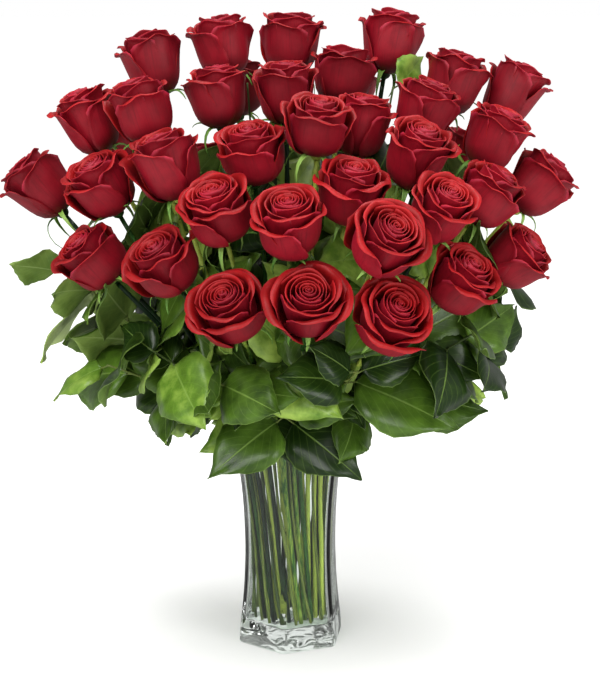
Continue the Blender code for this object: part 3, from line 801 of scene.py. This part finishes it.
def glassMaterial():
    # pressed soda-lime glass: clear, heavy at the foot, a faint green where it is thick
    material, shader = newMaterial("pressed clear glass")
    place = addNode(material, "ShaderNodeTexCoord")
    swell = addNode(material, "ShaderNodeTexNoise", {
        "Vector": place.outputs["Object"], "Scale": 30.0, "Detail": 1.0})
    # the mould chills the thick foot unevenly, so it ripples more than the walls
    height = addNode(material, "ShaderNodeSeparateXYZ", {"Vector": place.outputs["Object"]})
    uneven = addNode(material, "ShaderNodeMapRange", {
        "Value": height.outputs["Z"], "From Min": 0.018, "From Max": 0.045, "To Min": 0.85, "To Max": 0.10})
    ripple = addNode(material, "ShaderNodeTexNoise", {
        "Vector": place.outputs["Object"], "Scale": 58.0, "Detail": 0.0})
    foot = addNode(material, "ShaderNodeMapRange", {
        "Value": height.outputs["Z"], "From Min": 0.016, "From Max": 0.030, "To Min": 1.0, "To Max": 0.0})
    rough = addNode(material, "ShaderNodeBump", {
        "Strength": foot.outputs["Result"], "Distance": 0.0045, "Height": ripple.outputs["Fac"]})
    bump = addNode(material, "ShaderNodeBump", {
        "Strength": uneven.outputs["Result"], "Distance": 0.0030, "Height": swell.outputs["Fac"],
        "Normal": rough.outputs["Normal"]})
    link(material, bump.outputs["Normal"], shader.inputs["Normal"])
    shader.inputs["Base Color"].default_value = hexColour("F0F5F1")
    shader.inputs["Roughness"].default_value = 0.0
    shader.inputs["IOR"].default_value = 1.5
    shader.inputs["Specular IOR Level"].default_value = 0.30
    shader.inputs["Transmission Weight"].default_value = 1.0
    # lamps shine through the walls on to the stems inside
    through = addNode(material, "ShaderNodeBsdfTransparent", {"Color": hexColour("E9EFEA")})
    path = addNode(material, "ShaderNodeLightPath")
    mix = addNode(material, "ShaderNodeMixShader", {
        "Fac": path.outputs["Is Shadow Ray"], 1: shader.outputs["BSDF"], 2: through.outputs["BSDF"]})
    link(material, mix.outputs["Shader"], material.node_tree.nodes["Material Output"].inputs["Surface"])
    return material


def readVase():
    # corner radii of the CAD vase at each level, outside and inside
    bm = mergedCopy("vase")
    corner = max(bm.verts, key=lambda vert: math.hypot(vert.co.x, vert.co.y)).co
    heading = math.atan2(corner.y, corner.x)
    levels = {}
    for vert in bm.verts:
        off = (math.atan2(vert.co.y, vert.co.x) - heading + math.pi / 6.0) % (math.pi / 3.0) - math.pi / 6.0
        if abs(off) < 0.01:
            levels.setdefault(round(vert.co.z, 4), set()).add(round(math.hypot(vert.co.x, vert.co.y), 5))
    bm.free()
    outer = sorted((z, max(found)) for z, found in levels.items() if len(found) > 1 or z < 0.02)
    inner = sorted((z, min(found)) for z, found in levels.items() if len(found) > 1 or z > 0.02)
    inner = [(z, r) for z, r in inner if z > 0.02]
    return heading, outer, inner


def valueAt(z, table):
    for (z0, r0), (z1, r1) in zip(table, table[1:]):
        if z <= z1:
            return blend(r0, r1, (z - z0) / (z1 - z0) if z1 > z0 else 0.0)
    return table[-1][1]


def smoothTable(table, passes=2):
    z0, z1 = table[0][0], table[-1][0]
    fine = [(z0 + (z1 - z0) * k / 28.0, 0.0) for k in range(29)]
    fine = [(z, valueAt(z, table)) for z, r in fine]
    for step in range(passes):
        fine = [fine[0]] + [(fine[k][0], (fine[k - 1][1] + 2 * fine[k][1] + fine[k + 1][1]) / 4.0)
                            for k in range(1, len(fine) - 1)] + [fine[-1]]
    return fine


def buildVase():
    heading, outer, inner = readVase()
    bm = bmesh.new()
    ring = bmesh.ops.create_circle(bm, segments=6, radius=1.0, cap_ends=True)["verts"]
    edges = list(dict.fromkeys(edge for vert in ring for edge in vert.link_edges))
    turn = Matrix.Rotation(heading - math.atan2(ring[0].co.y, ring[0].co.x), 3, "Z")
    flat = [turn @ vert.co for vert in ring]
    # the corners are rounded below, so the sharp hexagon stands a little further out
    extra = glassLook["cornerRounding"] * (2.0 / math.sqrt(3.0) - 1.0)
    outside = smoothTable(outer[1:])
    inside = smoothTable(inner[1:])
    path = [(0.0, outer[1][1] + extra)] + [(z, r + extra) for z, r in outside[1:]]
    path += [(z, r + extra * 0.6) for z, r in reversed(inside)]
    path += [(inner[0][0], inner[0][1] + extra * 0.6)]
    for k, (z, r) in enumerate(path):
        if k > 0:
            ring, edges = drawOut(bm, ring, edges)
        for vert, co in zip(ring, flat):
            vert.co = Vector((co.x * r, co.y * r, z))
    bmesh.ops.contextual_create(bm, geom=edges)
    bmesh.ops.recalc_face_normals(bm, faces=bm.faces)
    upright = [edge for edge in bm.edges if abs((edge.verts[0].co - edge.verts[1].co).normalized().z) > 0.2]
    bmesh.ops.bevel(bm, geom=upright, offset=glassLook["cornerRounding"], offset_type="OFFSET", segments=5,
                    profile=0.5, affect="EDGES", material=-1, clamp_overlap=True)
    sharp = [edge for edge in bm.edges if len(edge.link_faces) == 2
             and edge.calc_face_angle() > math.radians(50.0)
             and abs(edge.verts[0].co.z - edge.verts[1].co.z) < 0.0005]
    bmesh.ops.bevel(bm, geom=sharp, offset=glassLook["rimRounding"], offset_type="OFFSET", segments=4,
                    profile=0.5, affect="EDGES", material=-1, clamp_overlap=True)
    piece = finishPiece("vase_glass", bm, [glassMaterial()], ("vase",))
    even = piece.modifiers.new("flat panels stay flat", "WEIGHTED_NORMAL")
    even.weight = 90


buildVase()
print("vase made")


stageLook = {
    "floor": "EDEDEC",
    "glowContactShadow": 0.05,      # painted contact shadow, darkest where the vase stands
    "glowNear": 0.25,
    "glowFar": 0.66,       # the paper is lit evenly white as it runs out of the lamps' reach
    "glowReach": 1.1,
    "mirrored": 0.28,      # share of the white paper that shows as haze on the glass
    "keyWatts": 78.0,
    "fillWatts": 16.0,
    "world": 0.46,
    "worldMirrored": 0.30,
}


def buildStage():
    bm = bmesh.new()
    bmesh.ops.create_grid(bm, x_segments=1, y_segments=1, size=40.0)
    mesh = bpy.data.meshes.new("floor")
    bm.to_mesh(mesh)
    bm.free()
    material, shader = newMaterial("white studio paper")
    shader.inputs["Base Color"].default_value = hexColour(stageLook["floor"])
    shader.inputs["Roughness"].default_value = 0.75
    shader.inputs["Emission Color"].default_value = (1.0, 1.0, 1.0, 1.0)
    place = addNode(material, "ShaderNodeTexCoord")
    away = addNode(material, "ShaderNodeVectorMath", {0: place.outputs["Object"]}, operation="LENGTH")
    glow = addNode(material, "ShaderNodeMapRange", {
        "Value": away.outputs["Value"], "From Min": 0.15, "From Max": stageLook["glowReach"],
        "To Min": stageLook["glowNear"], "To Max": stageLook["glowFar"]}, interpolation_type="SMOOTHSTEP")
    # painted contact shadow: the paper glows least right round the vase's foot
    paintedContactShadow = addNode(material, "ShaderNodeMapRange", {
        "Value": away.outputs["Value"], "From Min": 0.045, "From Max": 0.20,
        "To Min": stageLook["glowContactShadow"] - stageLook["glowNear"], "To Max": 0.0})
    total = addNode(material, "ShaderNodeMath", {
        0: glow.outputs["Result"], 1: paintedContactShadow.outputs["Result"]}, operation="ADD")
    link(material, total.outputs["Value"], shader.inputs["Emission Strength"])
    # the glass mirrors a dimmer paper, as dark cards round the set keep haze off it
    path = addNode(material, "ShaderNodeLightPath")
    card = addNode(material, "ShaderNodeBsdfDiffuse", {"Color": (0.0, 0.0, 0.0, 1.0)})
    mirror = addNode(material, "ShaderNodeMath", {
        0: path.outputs["Glossy Depth"], 1: 1.0}, operation="MINIMUM")
    share = addNode(material, "ShaderNodeMath", {
        0: mirror.outputs["Value"], 1: 1.0 - stageLook["mirrored"]}, operation="MULTIPLY")
    mix = addNode(material, "ShaderNodeMixShader", {
        "Fac": share.outputs["Value"], 1: shader.outputs["BSDF"], 2: card.outputs["BSDF"]})
    link(material, mix.outputs["Shader"], material.node_tree.nodes["Material Output"].inputs["Surface"])
    mesh.materials.append(material)
    floor = bpy.data.objects.new("floor", mesh)
    bpy.context.scene.collection.objects.link(floor)

    world = bpy.data.worlds.new("studio")
    bpy.context.scene.world = world
    world.use_nodes = True
    soft = world.node_tree.nodes["Background"]
    soft.inputs["Color"].default_value = (1.0, 1.0, 1.0, 1.0)
    path = addNode(world, "ShaderNodeLightPath")
    # mirrored light is dimmer, as the dark side of a studio keeps haze off the glass
    dim = addNode(world, "ShaderNodeMapRange", {
        "Value": path.outputs["Is Glossy Ray"],
        "To Min": stageLook["world"], "To Max": stageLook["worldMirrored"]})
    link(world, dim.outputs["Result"], soft.inputs["Strength"])
    bright = addNode(world, "ShaderNodeBackground", {"Color": (1.0, 1.0, 1.0, 1.0), "Strength": 1.0})
    either = addNode(world, "ShaderNodeMath", {
        0: path.outputs["Is Camera Ray"], 1: path.outputs["Is Transmission Ray"]}, operation="MAXIMUM")
    mix = addNode(world, "ShaderNodeMixShader", {
        "Fac": either.outputs["Value"], 1: soft.outputs["Background"], 2: bright.outputs["Background"]})
    link(world, mix.outputs["Shader"], world.node_tree.nodes["World Output"].inputs["Surface"])

    for name, place, size, watts in (
        ("key", (-0.7, -1.7, 2.3), 2.4, stageLook["keyWatts"]),
        ("fill", (1.6, -1.3, 1.0), 1.2, stageLook["fillWatts"]),
        ("top", (0.2, 0.6, 2.2), 1.2, stageLook["fillWatts"] * 1.2),
    ):
        data = bpy.data.lights.new(name, "AREA")
        data.shape = "DISK"
        data.size = size
        data.energy = watts
        lamp = bpy.data.objects.new(name, data)
        lamp.location = place
        aim = Vector((0.0, 0.0, 0.4)) - Vector(place)
        lamp.rotation_euler = aim.to_track_quat("-Z", "Y").to_euler()
        bpy.context.scene.collection.objects.link(lamp)

    camera = bpy.data.cameras.new("camera")
    camera.sensor_fit = "VERTICAL"
    camera.sensor_height = 36.0
    camera.lens = 87.4
    eye = bpy.data.objects.new("camera", camera)
    eye.location = (0.010, -1.750, 0.690)
    aim = Vector((0.010, 0.0, 0.317)) - eye.location
    eye.rotation_euler = aim.to_track_quat("-Z", "Y").to_euler()
    bpy.context.scene.collection.objects.link(eye)
    bpy.context.scene.camera = eye
    bpy.context.scene.view_settings.view_transform = "Standard"


buildStage()
print("stage set")
